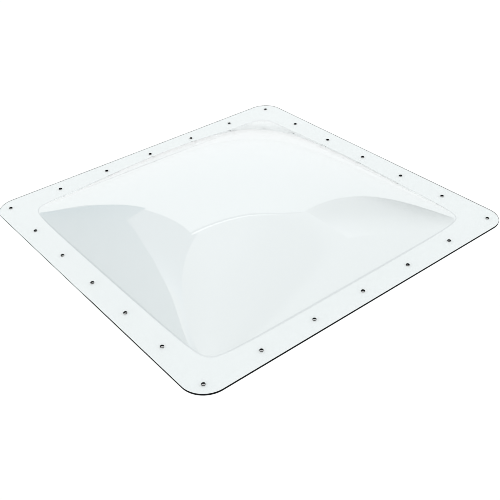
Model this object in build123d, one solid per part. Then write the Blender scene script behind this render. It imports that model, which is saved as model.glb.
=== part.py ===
from build123d import *
import math
import os

import numpy as np

os.makedirs("parts", exist_ok=True)

# The sheet, in millimetres. The underside of the flange lies on z = 0.
flange_width = 50.2
corner_radius = 40.0
sheet_thickness = 3.0
crown_thickness = 2.4
edge_ease = 0.3

# The blown crown, measured from the top of the flange.
crown_height = 93.0
crown_base = 560.0
crown_fullness = 0.79
corner_softness = 0.01
foot_softness = 2.8

# The fixing holes, one row along each side of the flange.
hole_radius = 3.0
hole_edge_distance = 25.4
holes_per_side = 7

# Sizes that follow from the ones above.
flange_side = crown_base + 2 * flange_width
half_side = flange_side / 2
hole_line = half_side - hole_edge_distance
hole_pitch = 2 * hole_line / (holes_per_side - 1)
half_reach = crown_base / 2 / math.sqrt(1 - corner_softness)
foot_scale = crown_height / (math.hypot(crown_height, foot_softness) - foot_softness)

# How the crown is cut into smooth faces: the square in the middle, the bands round it, the order.
centre_half = 0.64 * crown_base / 2
band_ends = [0.0, 0.9, 0.985, 1.0]
curve_order = 9


def base_radius(slope):
    """Plan distance along x from the centre to the crease, on the ray y = slope * x."""
    both = 1 + slope**2
    flat = 1 - corner_softness
    root = np.sqrt(both**2 - 4 * slope**2 * flat)
    return half_reach * np.sqrt(2 * flat / (both + root))


def share_up(x, y):
    """From 0 at the crease to 1 in the middle: ((1 - x2)(1 - y2) - s) / (1 - s)."""
    across = 1 - (x / half_reach) ** 2
    along = 1 - (y / half_reach) ** 2
    return np.maximum((across * along - corner_softness) / (1 - corner_softness), 0)


def lift(x, y):
    """Height above the flange: height * share ** fullness, with its foot rounded off."""
    sharp = crown_height * share_up(x, y) ** crown_fullness
    return foot_scale * (np.sqrt(sharp**2 + foot_softness**2) - foot_softness)


def slopes(x, y):
    """Slopes of the height along x and along y, from the same formula; none at the crease."""
    across = 1 - (x / half_reach) ** 2
    along = 1 - (y / half_reach) ** 2
    share = share_up(x, y)
    root = np.sqrt((crown_height * share**crown_fullness) ** 2 + foot_softness**2)
    steep = foot_scale * crown_fullness * crown_height**2 * share ** (2 * crown_fullness - 1) / root
    by_plan = steep * -2 / half_reach**2 / (1 - corner_softness)
    return by_plan * x * along, by_plan * y * across


def skin_points(x, y, underside):
    """Points of the outer skin, or of the underside a sheet thickness in along the normal."""
    height = lift(x, y)
    points = np.stack([x, y, height + sheet_thickness], axis=-1)
    if not underside:
        return points
    across, along = slopes(x, y)
    normal = np.stack([-across, -along, np.ones_like(across)], axis=-1)
    normal /= np.linalg.norm(normal, axis=-1, keepdims=True)
    thinning = (sheet_thickness - crown_thickness) * height / crown_height
    return points - normal * (sheet_thickness - thinning)[..., None]


def bernstein(order):
    """Matrix of the Bernstein terms at the sampling places, and those places."""
    places = (1 - np.cos(np.pi * np.arange(order + 1) / order)) / 2
    terms = [
        [math.comb(order, j) * s**j * (1 - s) ** (order - j) for j in range(order + 1)]
        for s in places
    ]
    return np.array(terms), places


terms, places = bernstein(curve_order)
unmix = np.linalg.inv(terms)


def patch(points):
    """One smooth face through a square grid of sampled points."""
    poles = np.einsum("ia,jb,abc->ijc", unmix, unmix, points)
    return Face.make_bezier_surface([[Vector(*pole) for pole in row] for row in poles])


def turned(x, y, quarter):
    """The plan point turned by a number of quarter turns."""
    for _ in range(quarter):
        x, y = -y, x
    return x, y


def skin(underside):
    """All faces of one side of the crown: four middle squares and four turned fans of bands."""
    halves = [(-1.0, 0.0), (0.0, 1.0)]
    faces = []
    for low_x, high_x in halves:
        for low_y, high_y in halves:
            across = centre_half * (low_x + (high_x - low_x) * places)
            along = centre_half * (low_y + (high_y - low_y) * places)
            x, y = np.meshgrid(across, along, indexing="ij")
            faces.append(patch(skin_points(x, y, underside)))
    for quarter in range(4):
        for low, high in halves:
            slope = low + (high - low) * places
            outer = base_radius(slope)
            for start, end in zip(band_ends, band_ends[1:]):
                share = start + (end - start) * places
                reach = centre_half + share[:, None] * (outer[None, :] - centre_half)
                x, y = turned(reach, reach * slope[None, :], quarter)
                faces.append(patch(skin_points(x, y, underside)))
    return faces


def flange_face(outline, faces, level):
    """The flat of the flange at one level, open where the crown's crease runs."""
    crease = [
        edge
        for face in faces
        for edge in face.edges()
        if all(abs((edge @ spot).Z - level) < 1e-4 for spot in (0, 0.3, 0.5, 1))
    ]
    return Face(outline, [Wire(crease)])


def make_sheet():
    """The one clear sheet before drilling: flat flange, creased foot and blown crown."""
    plate = extrude(RectangleRounded(flange_side, flange_side, corner_radius), sheet_thickness)
    top = plate.faces().sort_by(Axis.Z)[-1]
    bottom = plate.faces().sort_by(Axis.Z)[0]
    rim = [face for face in plate.faces() if abs(face.normal_at().Z) < 0.5]
    above = skin(underside=False)
    below = skin(underside=True)
    flats = [
        flange_face(top.outer_wire(), above, sheet_thickness),
        flange_face(bottom.outer_wire(), below, 0.0),
    ]
    return Solid(Shell(rim + flats + above + below))


def hole_places():
    """Centres of the fixing holes, once round the flange, each corner hole counted once."""
    steps = [hole_line - hole_pitch * number for number in range(holes_per_side - 1)]
    return [turned(step, -hole_line, quarter) for quarter in range(4) for step in steps]


def eased(sheet):
    """The sheet with the sawn edges of its outline taken off."""
    outline = [
        edge
        for edge in sheet.edges()
        if max(abs((edge @ 0.5).X), abs((edge @ 0.5).Y)) > half_side - corner_radius / 2
        and abs((edge @ 0).Z - (edge @ 1).Z) < 1e-6
    ]
    return chamfer(outline, edge_ease)


dome = eased(make_sheet())
for x, y in hole_places():
    drill = Cylinder(hole_radius, 4 * sheet_thickness)
    dome = dome - Pos(x, y, sheet_thickness / 2) * drill

dome = dome.solid()
dome.label = "skylight_dome"
print("holes", len(hole_places()), "valid", dome.is_valid, "faces", len(dome.faces()))
print("volume", round(dome.volume), "box", dome.bounding_box())
export_step(dome, "parts/skylight_dome.step")
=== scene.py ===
import math

import bpy
import numpy as np
from mathutils import Matrix


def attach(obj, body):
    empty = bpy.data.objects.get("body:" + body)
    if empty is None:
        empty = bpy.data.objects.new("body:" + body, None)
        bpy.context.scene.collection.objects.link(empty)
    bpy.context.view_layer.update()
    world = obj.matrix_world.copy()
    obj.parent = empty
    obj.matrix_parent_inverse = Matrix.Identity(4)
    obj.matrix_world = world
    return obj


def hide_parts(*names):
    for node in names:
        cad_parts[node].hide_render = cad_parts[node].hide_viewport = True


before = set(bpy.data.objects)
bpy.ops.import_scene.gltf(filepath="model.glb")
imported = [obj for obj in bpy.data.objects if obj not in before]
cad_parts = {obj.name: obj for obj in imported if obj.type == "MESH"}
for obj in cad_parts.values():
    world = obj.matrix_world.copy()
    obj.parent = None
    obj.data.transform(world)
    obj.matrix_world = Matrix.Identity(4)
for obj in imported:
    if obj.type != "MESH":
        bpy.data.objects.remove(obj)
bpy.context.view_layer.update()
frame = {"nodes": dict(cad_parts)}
print("frame loaded:", ", ".join(frame["nodes"]))


# One clear sheet: flat flange, creased foot, blown crown. All lengths are in metres. Heights are
# above the roof, and the crown's own height is above the flange.
dome = {
    "side": 0.6604,             # the square flange
    "cornerRadius": 0.040,
    "sheet": 0.0030,            # its thickness at the flange
    "crownSheet": 0.0024,       # and on top of the crown, where it is blown thinner
    "edgeEase": 0.0003,         # taken off the corners of the sawn edge
    "easeSteps": 4,
    "crownBase": 0.560,         # from crease to crease
    "crownHeight": 0.093,
    "fullness": 0.79,           # below 1 is fuller than a plain bubble
    "cornerSoftness": 0.01,     # rounds the corners of the crease
    "footSoftness": 0.0009,     # how far up the crown its foot is rounded
    "stepsAcross": 100,         # grid steps from the middle to the crease
    "crowding": 1.8,            # above 1 draws the steps towards the crease
    "flangeSteps": [0.018, 0.1, 0.6, 0.985],   # shares of the way from the crease to the outline
    "creaseShadeWidth": 0.0018,         # how far in from the crease the painted shade line of the bend reaches
    "sharpFrom": 35.0,          # degrees between two faces that meet in a sharp edge
}

reach = dome["crownBase"] / 2 / math.sqrt(1 - dome["cornerSoftness"])


def creaseDistance(slope):
    # Distance along x to the crease on the ray y = slope * x: the root of
    # (1 - x2)(1 - slope2 * x2) = softness, with x as a share of the reach.
    both = 1 + slope**2
    flat = 1 - dome["cornerSoftness"]
    root = np.sqrt(both**2 - 4 * slope**2 * flat)
    return reach * np.sqrt(2 * flat / (both + root))


def outlineDistance(slope):
    # Distance along x to the flange's outline on the same ray: the straight side, or where
    # the ray meets the corner's circle.
    half, radius = dome["side"] / 2, dome["cornerRadius"]
    centre = half - radius
    under = (centre * (1 + slope)) ** 2 - (1 + slope**2) * (2 * centre**2 - radius**2)
    onArc = (centre * (1 + slope) + np.sqrt(np.maximum(under, 0))) / (1 + slope**2)
    return np.where(half * slope <= centre, half, onArc)


def crownShare(x, y):
    # (1 - x2)(1 - y2) less the softness, from 0 at the crease to 1 in the middle.
    across = 1 - (x / reach) ** 2
    along = 1 - (y / reach) ** 2
    return np.maximum((across * along - dome["cornerSoftness"]) / (1 - dome["cornerSoftness"]), 0)


def crownLift(x, y):
    # height * share to the power of fullness, with its foot rounded: root(sharp2 + soft2) - soft.
    soft, height = dome["footSoftness"], dome["crownHeight"]
    sharp = height * crownShare(x, y) ** dome["fullness"]
    return (np.hypot(sharp, soft) - soft) * height / (math.hypot(height, soft) - soft)


def crownNormal(x, y):
    # Upward normal from the lift's slopes, each taken over twice a small step, and straight up
    # on the crease.
    small = 0.00005
    stillCrease = 1e-7
    dx = (crownLift(x + small, y) - crownLift(x - small, y)) / (2 * small)
    dy = (crownLift(x, y + small) - crownLift(x, y - small)) / (2 * small)
    onCrown = crownShare(x, y) > stillCrease
    normal = np.stack([np.where(onCrown, -dx, 0), np.where(onCrown, -dy, 0), np.ones_like(x)], -1)
    return normal / np.linalg.norm(normal, axis=-1, keepdims=True)


def squareGrid(steps, crowding):
    # Places on the square -1..1, crowded towards its sides: 1 - (1 - share) to a power.
    number = np.arange(-steps, steps + 1)
    line = np.sign(number) * (1 - (1 - np.abs(number) / steps) ** crowding)
    return np.meshgrid(line, line, indexing="ij")


def gridFaces(rows, columns):
    # The four-cornered faces of a grid of points numbered row after row.
    cell = (np.arange(rows - 1)[:, None] * columns + np.arange(columns - 1)[None, :]).ravel()
    return np.stack([cell, cell + columns, cell + columns + 1, cell + 1], -1)


def bandFaces(inner, outer):
    # The faces between two closed rings of as many points.
    return np.stack([inner, outer, np.roll(outer, -1), np.roll(inner, -1)], -1)


def borderRing(count):
    # Numbers of the grid's border points, anticlockwise from the corner at low x and low y.
    last = count - 1
    run = np.arange(last)
    i = np.concatenate([run, np.full(last, last), last - run, np.zeros(last, int)])
    j = np.concatenate([np.zeros(last, int), run, np.full(last, last), last - run])
    return i * count + j


def crownPlan(u, v):
    # Every concentric square of the grid becomes a scaled copy of the crease: each point's place
    # on the grid, times the distance to the crease at its slope.
    size = np.abs(np.stack([u, v]))
    almostMiddle = 1e-9
    slope = size.min(0) / np.maximum(size.max(0), almostMiddle)
    return u * creaseDistance(slope), v * creaseDistance(slope)


def crownSkins(u, v):
    # The outer skin, and the underside a sheet thickness in along the normal.
    x, y = crownPlan(u, v)
    lift = crownLift(x, y)
    thinning = (dome["sheet"] - dome["crownSheet"]) * lift / dome["crownHeight"]
    outer = np.stack([x, y, lift + dome["sheet"]], -1)
    return outer, outer - crownNormal(x, y) * (dome["sheet"] - thinning)[..., None]


def flangeProfile():
    # Out over the flange, round its eased edge and back under it, as steps of three: the share of
    # the way from crease to outline, how far in from the outline, and the height.
    ease, top = dome["edgeEase"], dome["sheet"]
    turn = np.linspace(0, math.pi / 2, dome["easeSteps"])
    over = [(share, 0.0, top) for share in dome["flangeSteps"]]
    upper = [(1.0, ease * (1 - math.sin(a)), top - ease * (1 - math.cos(a))) for a in turn]
    lower = [(1.0, ease * (1 - math.cos(a)), ease * (1 - math.sin(a))) for a in turn]
    under = [(share, 0.0, 0.0) for share in dome["flangeSteps"][::-1]]
    return over + upper + lower + under


def carryRound(crease, profile):
    # One ring of points for each step of the profile, on the rays through the crease's points.
    size = np.abs(crease)
    slope = size.min(-1) / size.max(-1)
    outline = crease * (outlineDistance(slope) / size.max(-1))[:, None]
    rings = []
    for share, inset, height in profile:
        ring = (crease + share * (outline - crease)) * (1 - inset / (dome["side"] / 2))
        rings.append(np.column_stack([ring, np.full(len(ring), height)]))
    return rings


def buildDome():
    # One closed surface: the outer skin, the rings of the flange and the underside. Each face has
    # its material slot, 1 on the sawn edge, and each point its share of the painted shade line along
    # the bend.
    u, v = squareGrid(dome["stepsAcross"], dome["crowding"])
    outer, under = (skin.reshape(-1, 3) for skin in crownSkins(u, v))
    border = borderRing(len(u))
    around = len(border)
    rings = carryRound(outer[border, :2], flangeProfile())
    points = np.concatenate([outer] + rings + [under])

    underFrom = len(outer) + len(rings) * around
    loops = [border]
    loops += [len(outer) + number * around + np.arange(around) for number in range(len(rings))]
    loops.append(underFrom + border)
    bands = [bandFaces(*pair) for pair in zip(loops, loops[1:])]
    top = gridFaces(*u.shape)
    faces = np.concatenate([top] + bands + [top[:, ::-1] + underFrom])

    flatBands = len(dome["flangeSteps"]) + 1
    sawn = range(flatBands, len(bands) - flatBands)
    slots = [np.full(around, int(number in sawn)) for number in range(len(bands))]
    slots = np.concatenate([np.zeros(len(top), int)] + slots + [np.zeros(len(top), int)])

    # Painted shade along the crease: each point's share, 1 on the crease and 0 from the shade's width
    # up the crown.
    fromCrease = (1 - np.maximum(np.abs(u), np.abs(v))) * dome["crownBase"] / 2
    creaseShadeOnSkin = np.clip(1 - fromCrease / dome["creaseShadeWidth"], 0, 1).ravel()
    creaseShade = np.concatenate([creaseShadeOnSkin, np.zeros(len(rings) * around), creaseShadeOnSkin])
    return points, faces, slots, creaseShade


def addObject(name, points, faces, materials):
    mesh = bpy.data.meshes.new(name)
    mesh.from_pydata(points, [], faces)
    for material in materials:
        mesh.materials.append(material)
    thing = bpy.data.objects.new(name, mesh)
    bpy.context.scene.collection.objects.link(thing)
    return thing


def addNode(tree, kind, inputs, **settings):
    # A new shader node. Each input is set to a value or joined to another node's output.
    made = tree.nodes.new("ShaderNode" + kind)
    for name, value in settings.items():
        setattr(made, name, value)
    for name, given in inputs.items():
        if isinstance(given, bpy.types.NodeSocket):
            tree.links.new(given, made.inputs[name])
        else:
            made.inputs[name].default_value = given
    return made


def ranged(tree, value, start, end=(0.0, 1.0)):
    # The value carried from the range start to the range end, and kept inside it.
    made = addNode(tree, "MapRange", {"Value": value, "From Min": start[0], "From Max": start[1],
                                      "To Min": end[0], "To Max": end[1]})
    return made.outputs["Result"]


def mixedColour(tree, share, first, second):
    mix = addNode(tree, "Mix", {"Factor": share, "A": first, "B": second}, data_type="RGBA")
    return mix.outputs["Result"]


def mixedShader(tree, share, first, second):
    return addNode(tree, "MixShader", {"Fac": share, 1: first, 2: second}).outputs[0]


def newMaterial(name, shader):
    # A material of nodes, with what shader makes of its tree as its surface.
    material = bpy.data.materials.new(name)
    material.use_nodes = True
    material.node_tree.nodes.clear()
    addNode(material.node_tree, "OutputMaterial", {"Surface": shader(material.node_tree)})
    return material


# The clear plastic. Colours are red, green, blue and 1, and patterns count per metre.
clear = {
    "flangeTint": (0.896, 0.919, 0.922, 1.0),   # light straight through the sheet at the flange
    "crownTint": (0.923, 0.946, 0.952, 1.0),    # and where it is blown thinner
    "creaseShadeTint": (0.730, 0.755, 0.765, 1.0),     # and a painted shade line along the bend, as a deeper tint
    "shadow": (0.930, 0.950, 0.950, 1.0),       # what each face of it lets through of soft light
    "ior": 1.585,
    "rubbed": 6.0,                              # patches where it is lightly rubbed
    "rubbedDetail": 5.0,
    "rubbedFrom": (0.45, 0.75),                 # how much of the pattern is rubbed
    "roughness": (0.0, 0.012),                  # from clean to rubbed
    "waves": 11.0,                              # the slight waves of a blown sheet
    "waveHeight": 0.000006,
}
# The same plastic where a saw or a drill has cut it.
cut = {
    # near black: painted shade on the cut faces, which show dark in the clear sheet
    "dark": (0.0012, 0.0014, 0.0014, 1.0),
    "gloss": 0.1,
    "roughness": (0.35, 0.70),
    "sawMarks": 900.0,
    "sawStretch": (1.0, 1.0, 0.02),             # draws the marks out upright
    "markStrength": 0.3,
    "markDepth": 0.0001,
    "litTop": (0.70, 0.76, 0.76, 1.0),          # the top of the edge where it takes the light,
    "litAbove": (0.0014, 0.0024),               # from dark to light between these heights
    "litAlong": (-0.045, -0.005),               # and between these places along Y
    "edgeClearness": 0.30,                      # how clear the edge is from inside the sheet
}


def clearPlastic(tree):
    # Deeper in tint where the sheet is thick, with a painted shade line along the bend, rubbed patches
    # and waves.
    place = addNode(tree, "TexCoord", {}).outputs["Object"]
    height = addNode(tree, "SeparateXYZ", {0: place}).outputs["Z"]
    blown = ranged(tree, height, (0.0, dome["crownHeight"]))
    tint = mixedColour(tree, blown, clear["flangeTint"], clear["crownTint"])
    # The share of the painted shade along the crease.
    creaseShade = addNode(tree, "Attribute", {}, attribute_name="creaseShade").outputs["Fac"]
    patches = addNode(tree, "TexNoise", {"Vector": place, "Scale": clear["rubbed"],
                                         "Detail": clear["rubbedDetail"]})
    waves = addNode(tree, "TexNoise", {"Vector": place, "Scale": clear["waves"], "Detail": 0.0})
    bump = addNode(tree, "Bump", {"Height": waves.outputs["Fac"], "Distance": clear["waveHeight"]})
    sheet = addNode(tree, "BsdfPrincipled", {
        "Base Color": mixedColour(tree, creaseShade, tint, clear["creaseShadeTint"]),
        "Roughness": ranged(tree, patches.outputs["Fac"], clear["rubbedFrom"], clear["roughness"]),
        "Normal": bump.outputs["Normal"],
        "Transmission Weight": 1.0,
        "IOR": clear["ior"],
    })
    return sheet.outputs[0]


def cutPlastic(tree, place, colour):
    # Rough and hardly glossy, with the fine upright marks of the tool.
    upright = addNode(tree, "Mapping", {"Vector": place, "Scale": cut["sawStretch"]}).outputs[0]
    marks = addNode(tree, "TexNoise", {"Vector": upright, "Scale": cut["sawMarks"]}).outputs["Fac"]
    bump = addNode(tree, "Bump", {"Height": marks, "Strength": cut["markStrength"],
                                  "Distance": cut["markDepth"]})
    dark = addNode(tree, "BsdfPrincipled", {
        "Base Color": colour,
        "Roughness": ranged(tree, marks, (0.0, 1.0), cut["roughness"]),
        "Normal": bump.outputs["Normal"],
        "Specular IOR Level": cut["gloss"],
    })
    return dark.outputs[0]


def letLightThrough(tree, seen):
    # Lamps and soft light reach the table under the sheet instead of stopping at it.
    path = addNode(tree, "LightPath", {})
    through = addNode(tree, "BsdfTransparent", {"Color": clear["shadow"]}).outputs[0]
    for kind in ("Is Diffuse Ray", "Is Shadow Ray"):
        seen = mixedShader(tree, path.outputs[kind], seen, through)
    return seen


def clearSheet(tree):
    return letLightThrough(tree, clearPlastic(tree))


def sawnEdge(tree):
    # Near black from outside as painted shade, lit along its top for part of its way by a painted
    # highlight, partly clear from inside the sheet.
    place = addNode(tree, "TexCoord", {}).outputs["Object"]
    axes = addNode(tree, "SeparateXYZ", {0: place})
    lit = addNode(tree, "Math", {0: ranged(tree, axes.outputs["Z"], cut["litAbove"]),
                                 1: ranged(tree, axes.outputs["Y"], cut["litAlong"])},
                  operation="MULTIPLY")
    colour = mixedColour(tree, lit.outputs[0], cut["dark"], cut["litTop"])
    inside = addNode(tree, "NewGeometry", {}).outputs["Backfacing"]
    share = ranged(tree, inside, (0.0, 1.0), (0.0, cut["edgeClearness"]))
    seen = mixedShader(tree, share, cutPlastic(tree, place, colour), clearPlastic(tree))
    return letLightThrough(tree, seen)


def drilledWall(tree):
    # Painted shade: near black all over. It stops the light, so the table is dim at the bottom of a
    # hole.
    return cutPlastic(tree, addNode(tree, "TexCoord", {}).outputs["Object"], cut["dark"])


finishes = {"clearSheet": clearSheet, "sawnEdge": sawnEdge, "drilledWall": drilledWall}
points, faces, slots, creaseShade = buildDome()
clearDome = addObject("clearDome", points.tolist(), faces.tolist(),
                      [newMaterial(name, shader) for name, shader in finishes.items()])
clearDome.data.polygons.foreach_set("material_index", slots.astype(np.int32))
clearDome.data.polygons.foreach_set("use_smooth", np.full(len(faces), True))
# Each point's share of the painted crease shade.
clearDome.data.attributes.new("creaseShade", "FLOAT", "POINT").data.foreach_set("value", creaseShade)
clearDome.data.update()
print("dome surface:", len(points), "points,", len(faces), "faces")


# The fixing holes, one row along each side of the flange.
holes = {
    "radius": 0.0030,
    "fromEdge": 0.0254,
    "perSide": 7,
    "facets": 48,
    "bitEnds": (-0.004, 0.007),   # the drill goes well past both faces of the sheet
}


def drillBits():
    # Upright closed cylinders at the hole places: a circle at both heights, joined and capped.
    line = dome["side"] / 2 - holes["fromEdge"]
    pitch = 2 * line / (holes["perSide"] - 1)
    steps = line - pitch * np.arange(holes["perSide"] - 1)
    rows = [np.column_stack([steps, np.full_like(steps, -line)])]
    for _ in range(3):
        rows.append(np.column_stack([-rows[-1][:, 1], rows[-1][:, 0]]))
    facets = holes["facets"]
    run = np.arange(facets)
    angle = 2 * math.pi * run / facets
    circle = holes["radius"] * np.column_stack([np.cos(angle), np.sin(angle)])
    points, faces = [], []
    for place in np.concatenate(rows):
        low = len(points) * facets + run
        points += [np.column_stack([circle + place, np.full(facets, end)]) for end in holes["bitEnds"]]
        faces += bandFaces(low + facets, low).tolist()
        faces += [low[::-1].tolist(), (low + facets).tolist()]
    return np.concatenate(points), faces


def drill(thing):
    bitPoints, bitFaces = drillBits()
    bits = addObject("drillBits", bitPoints.tolist(), bitFaces, thing.data.materials)
    wallSlot = thing.data.materials.find("drilledWall")
    bits.data.polygons.foreach_set("material_index", [wallSlot] * len(bitFaces))
    hole = thing.modifiers.new("drill", "BOOLEAN")
    hole.operation = "DIFFERENCE"
    hole.solver = "EXACT"
    hole.object = bits
    bpy.context.view_layer.update()
    drilled = bpy.data.meshes.new_from_object(
        thing.evaluated_get(bpy.context.evaluated_depsgraph_get()))
    thing.modifiers.clear()
    thing.data = drilled
    bpy.data.objects.remove(bits)
    drilled.set_sharp_from_angle(angle=math.radians(dome["sharpFrom"]))


drill(clearDome)
print("drilled:", len(clearDome.data.polygons), "faces")
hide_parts("skylight_dome")
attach(clearDome, "root")


# The white table and the room, which the sheet mirrors. Levels are as a camera would see them.
studio = {
    "tableDrop": 0.0003,         # the table lies just under the flange
    "tableColour": (0.90, 0.90, 0.90, 1.0),
    "tableGlow": 0.14,           # only what is seen, so that the bare table is white
    "tableHalf": 40.0,
    "room": 1.0,
    "panelSteps": (80, 120),     # along a panel and up it
}
white = (1.0, 1.0, 1.0, 1.0)

# Upright panels. Each faces one azimuth, from +Y towards +X, at a distance. Its ends along itself
# may change with height, and its bottom and top along it. Its level is the one by height times
# the one by place, and it is white unless it has a colour.
cardTop = [(-4.85, 15.45), (2.5, 15.95), (4.3, 16.4), (6.1, 16.9), (8.6, 16.5)]


def raised(edge, by):
    return [(place, height + by) for place, height in edge]


panels = {
    "backCard": {
        "turn": 27.9, "distance": 9.39, "bottom": [(0.0, 0.0)], "top": cardTop,
        "left": [(3.5, -4.6), (6.0, -5.05), (9.5, -5.1), (15.0, -4.85)], "right": [(0.0, 8.6)],
        "byHeight": [(0.0, 1.02), (0.8, 1.08), (2.6, 1.13), (4.6, 1.17), (9.5, 1.20), (15.0, 1.26)],
        "byPlace": [(3.0, 1.0), (6.0, 0.96), (8.6, 0.91)],
    },
    "darkRail": {
        "turn": 27.9, "distance": 9.39, "bottom": cardTop, "top": raised(cardTop, 0.45),
        "left": [(0.0, -4.85)], "right": [(0.0, 8.6)],
        "byHeight": [(0.0, 0.6)], "byPlace": [(0.0, 1.0)],
    },
    "stripLight": {
        "turn": 27.9, "distance": 9.39, "bottom": raised(cardTop, 0.45),
        "top": raised(cardTop, 0.77), "left": [(0.0, -4.85)], "right": [(0.0, 8.0)],
        "byHeight": [(0.0, 2.0)], "byPlace": [(-4.8, 1.15), (2.5, 0.95), (5.0, 0.65), (7.0, 0.48)],
    },
    "darkFlag": {
        "turn": -75.0, "distance": 2.2, "bottom": [(0.0, 0.0)],
        "top": [(1.8, 3.55), (2.1, 3.37), (2.8, 3.34), (4.0, 3.52), (4.9, 3.67), (8.3, 6.2)],
        "left": [(0.0, -6.0)], "right": [(0.0, 8.3)], "colour": (0.30, 0.75, 1.0, 1.0),
        "byHeight": [(0.0, 1.0)], "byPlace": [(2.0, 0.18), (5.0, 0.25), (8.0, 0.28)],
    },
    "greyWall": {
        "turn": -6.0, "distance": 12.0, "bottom": [(0.0, 0.0)], "top": [(0.0, 19.6)],
        "left": [(0.0, -4.9)], "right": [(0.0, 2.0)], "colour": (0.92, 1.0, 1.08, 1.0),
        "byHeight": [(0.0, 1.0)],
        "byPlace": [(-4.9, 0.92), (-3.7, 0.66), (-2.2, 0.52), (2.0, 0.50)],
    },
    "rightWall": {
        "turn": 80.0, "distance": 14.0, "bottom": [(0.0, 0.0)], "top": [(0.0, 17.8)],
        "left": [(0.0, -3.4)], "right": [(0.0, 5.5)],
        "byHeight": [(5.4, 0.0), (7.4, 0.40), (8.6, 0.85), (10.0, 1.0), (14.0, 1.2), (17.8, 1.5)],
        "byPlace": [(-3.4, 0.62), (-2.4, 0.50), (-1.0, 0.45), (0.2, 0.50), (1.3, 0.62), (2.5, 0.74),
                    (5.5, 0.88)],
    },
}
# The ceiling as the sheet mirrors it: a cap of the sky whose level goes by azimuth, and higher up
# blends into the level overhead. Angles are in degrees.
ceiling = {
    "radius": 35.0,
    "byAzimuth": [(-180.0, 0.85), (-60.0, 0.85), (-28.0, 0.80), (-8.0, 0.93), (4.0, 0.98),
                  (36.0, 0.98), (60.0, 0.82), (90.0, 0.76), (120.0, 0.72), (180.0, 0.85)],
    "overhead": 0.84,
    "rim": 52.0,                 # where it starts, at the room's own level
    "full": 58.0,                # where it has the level by azimuth
    "blend": (70.0, 80.0),
    "steps": (181, 60),          # round it and up it
}


def onLine(value, line):
    # The height of a line of corner points over a value, level beyond its ends.
    return np.interp(value, *zip(*line))


def whiteTable(tree):
    # Matt white. The camera's own rays, mirrored ones and those through the sheet see it glow.
    path = addNode(tree, "LightPath", {})
    seen = path.outputs["Is Camera Ray"]
    for kind in ("Is Glossy Ray", "Is Transmission Ray"):
        seen = addNode(tree, "Math", {0: seen, 1: path.outputs[kind]}, operation="MAXIMUM").outputs[0]
    strength = ranged(tree, seen, (0.0, 1.0), (0.0, studio["tableGlow"]))
    matt = addNode(tree, "BsdfDiffuse", {"Color": studio["tableColour"]}).outputs[0]
    glow = addNode(tree, "Emission", {"Strength": strength}).outputs[0]
    return addNode(tree, "AddShader", {0: matt, 1: glow}).outputs[0]


def layTable():
    half, low = studio["tableHalf"], -studio["tableDrop"]
    corners = [(-half, -half, low), (half, -half, low), (half, half, low), (-half, half, low)]
    table = addObject("whiteTable", corners, [(0, 1, 2, 3)], [newMaterial("whiteTable", whiteTable)])


def glowingGrid(name, points, level, colour):
    # A grid of points as one surface, each at its own level, seen only by what the sheet mirrors
    # or bends.
    def glow(tree):
        carried = addNode(tree, "Attribute", {}, attribute_name="level").outputs["Fac"]
        return addNode(tree, "Emission", {"Color": colour, "Strength": carried}).outputs[0]

    thing = addObject(name, points.reshape(-1, 3).tolist(), gridFaces(*level.shape).tolist(),
                      [newMaterial(name, glow)])
    thing.data.attributes.new("level", "FLOAT", "POINT").data.foreach_set("value", level.ravel())
    thing.visible_camera = False
    thing.visible_diffuse = False
    thing.visible_shadow = False


def standPanel(name, panel):
    # A flat grid: out from the middle of the room, plus places along the panel, plus heights. Its
    # ends are read at heights as if its bottom and top were level.
    turn = math.radians(panel["turn"])
    out = np.array([math.sin(turn), math.cos(turn), 0.0]) * panel["distance"]
    way = np.array([math.cos(turn), -math.sin(turn), 0.0])
    up = np.array([0.0, 0.0, 1.0])
    share, rise = np.meshgrid(*(np.linspace(0, 1, steps) for steps in studio["panelSteps"]),
                              indexing="ij")
    lowest = min(height for place, height in panel["bottom"])
    highest = max(height for place, height in panel["top"])
    levelHeight = lowest + rise * (highest - lowest)
    left, right = onLine(levelHeight, panel["left"]), onLine(levelHeight, panel["right"])
    along = left + share * (right - left)
    bottom, top = onLine(along, panel["bottom"]), onLine(along, panel["top"])
    height = bottom + rise * (top - bottom)
    level = onLine(height, panel["byHeight"]) * onLine(along, panel["byPlace"])
    glowingGrid(name, out + along[..., None] * way + height[..., None] * up, level,
                panel.get("colour", white))


def hangCeiling():
    # A grid on a sphere: radius times sin(a) cos(e), cos(a) cos(e) and sin(e), for azimuth a and
    # elevation e.
    stepsRound, stepsUp = ceiling["steps"]
    azimuth, elevation = np.meshgrid(np.linspace(-180, 180, stepsRound),
                                     np.linspace(ceiling["rim"], 90, stepsUp), indexing="ij")
    a, e = np.radians(azimuth), np.radians(elevation)
    points = ceiling["radius"] * np.stack(
        [np.sin(a) * np.cos(e), np.cos(a) * np.cos(e), np.sin(e)], -1)
    overhead = np.interp(elevation, ceiling["blend"], (0.0, 1.0))
    begun = np.interp(elevation, (ceiling["rim"], ceiling["full"]), (0.0, 1.0))
    level = onLine(azimuth, ceiling["byAzimuth"])
    level = level + overhead * (ceiling["overhead"] - level)
    level = studio["room"] + begun * (level - studio["room"])
    glowingGrid("ceiling", points, level, white)


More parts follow.
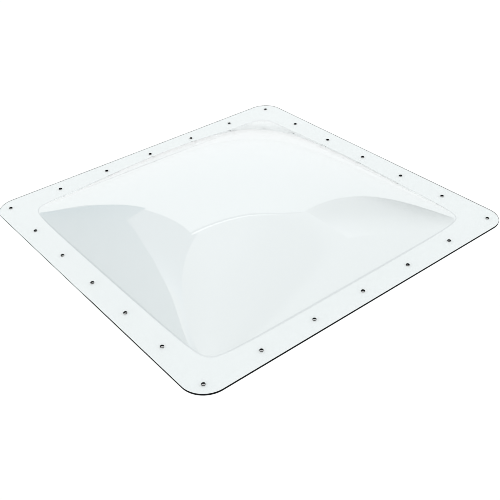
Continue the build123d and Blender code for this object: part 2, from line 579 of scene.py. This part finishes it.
def lightRoom():
    # The same level all round.
    world = bpy.data.worlds.new("studio")
    world.use_nodes = True
    background = world.node_tree.nodes["Background"]
    background.inputs["Color"].default_value = white
    background.inputs["Strength"].default_value = studio["room"]
    bpy.context.scene.world = world


layTable()
for name, panel in panels.items():
    standPanel(name, panel)
hangCeiling()
lightRoom()
print("studio set")


# The camera, from the photo's hole rows: where it stands and which ways it looks.
camera = {
    "place": (-0.71051, -0.97654, 0.76752),
    "right": (0.77093872, -0.63589342, -0.03595895),
    "down": (-0.38881303, -0.42516562, -0.81734853),
    "ahead": (0.50445805, 0.64410694, -0.57502028),
    "focalPixels": 794.84,
    "centre": (267.43, 249.76),   # the pixel straight ahead
    "picturePixels": 500,
    "sensorWidth": 36.0,          # in millimetres
    "farEnd": 100.0,
}
# Light goes to and fro inside the sheet many times before it leaves.
bounces = {
    "most": 128,
    "throughClear": 16,
    "filterWidth": 0.7,           # in pixels, keeps thin edges crisp
}


def placeCamera():
    # Its own axes are the ways to the right, up and back.
    pixels = camera["picturePixels"]
    data = bpy.data.cameras.new("photoCamera")
    data.sensor_width = camera["sensorWidth"]
    data.sensor_fit = "HORIZONTAL"
    data.lens = camera["focalPixels"] / pixels * camera["sensorWidth"]
    data.shift_x = (pixels / 2 - camera["centre"][0]) / pixels
    data.shift_y = (camera["centre"][1] - pixels / 2) / pixels
    data.clip_end = camera["farEnd"]
    rightWay, down, ahead = (np.array(camera[key]) for key in ("right", "down", "ahead"))
    matrix = Matrix(np.stack([rightWay, -down, -ahead], -1).tolist()).to_4x4()
    matrix.translation = camera["place"]
    thing = bpy.data.objects.new("photoCamera", data)
    thing.matrix_world = matrix
    bpy.context.scene.collection.objects.link(thing)
    bpy.context.scene.camera = thing


def allowBounces():
    cycles = bpy.context.scene.cycles
    cycles.max_bounces = bounces["most"]
    cycles.glossy_bounces = bounces["most"]
    cycles.transmission_bounces = bounces["most"]
    cycles.transparent_max_bounces = bounces["throughClear"]
    cycles.filter_width = bounces["filterWidth"]


placeCamera()
allowBounces()
bpy.context.scene.view_settings.view_transform = "Standard"
print("camera set")
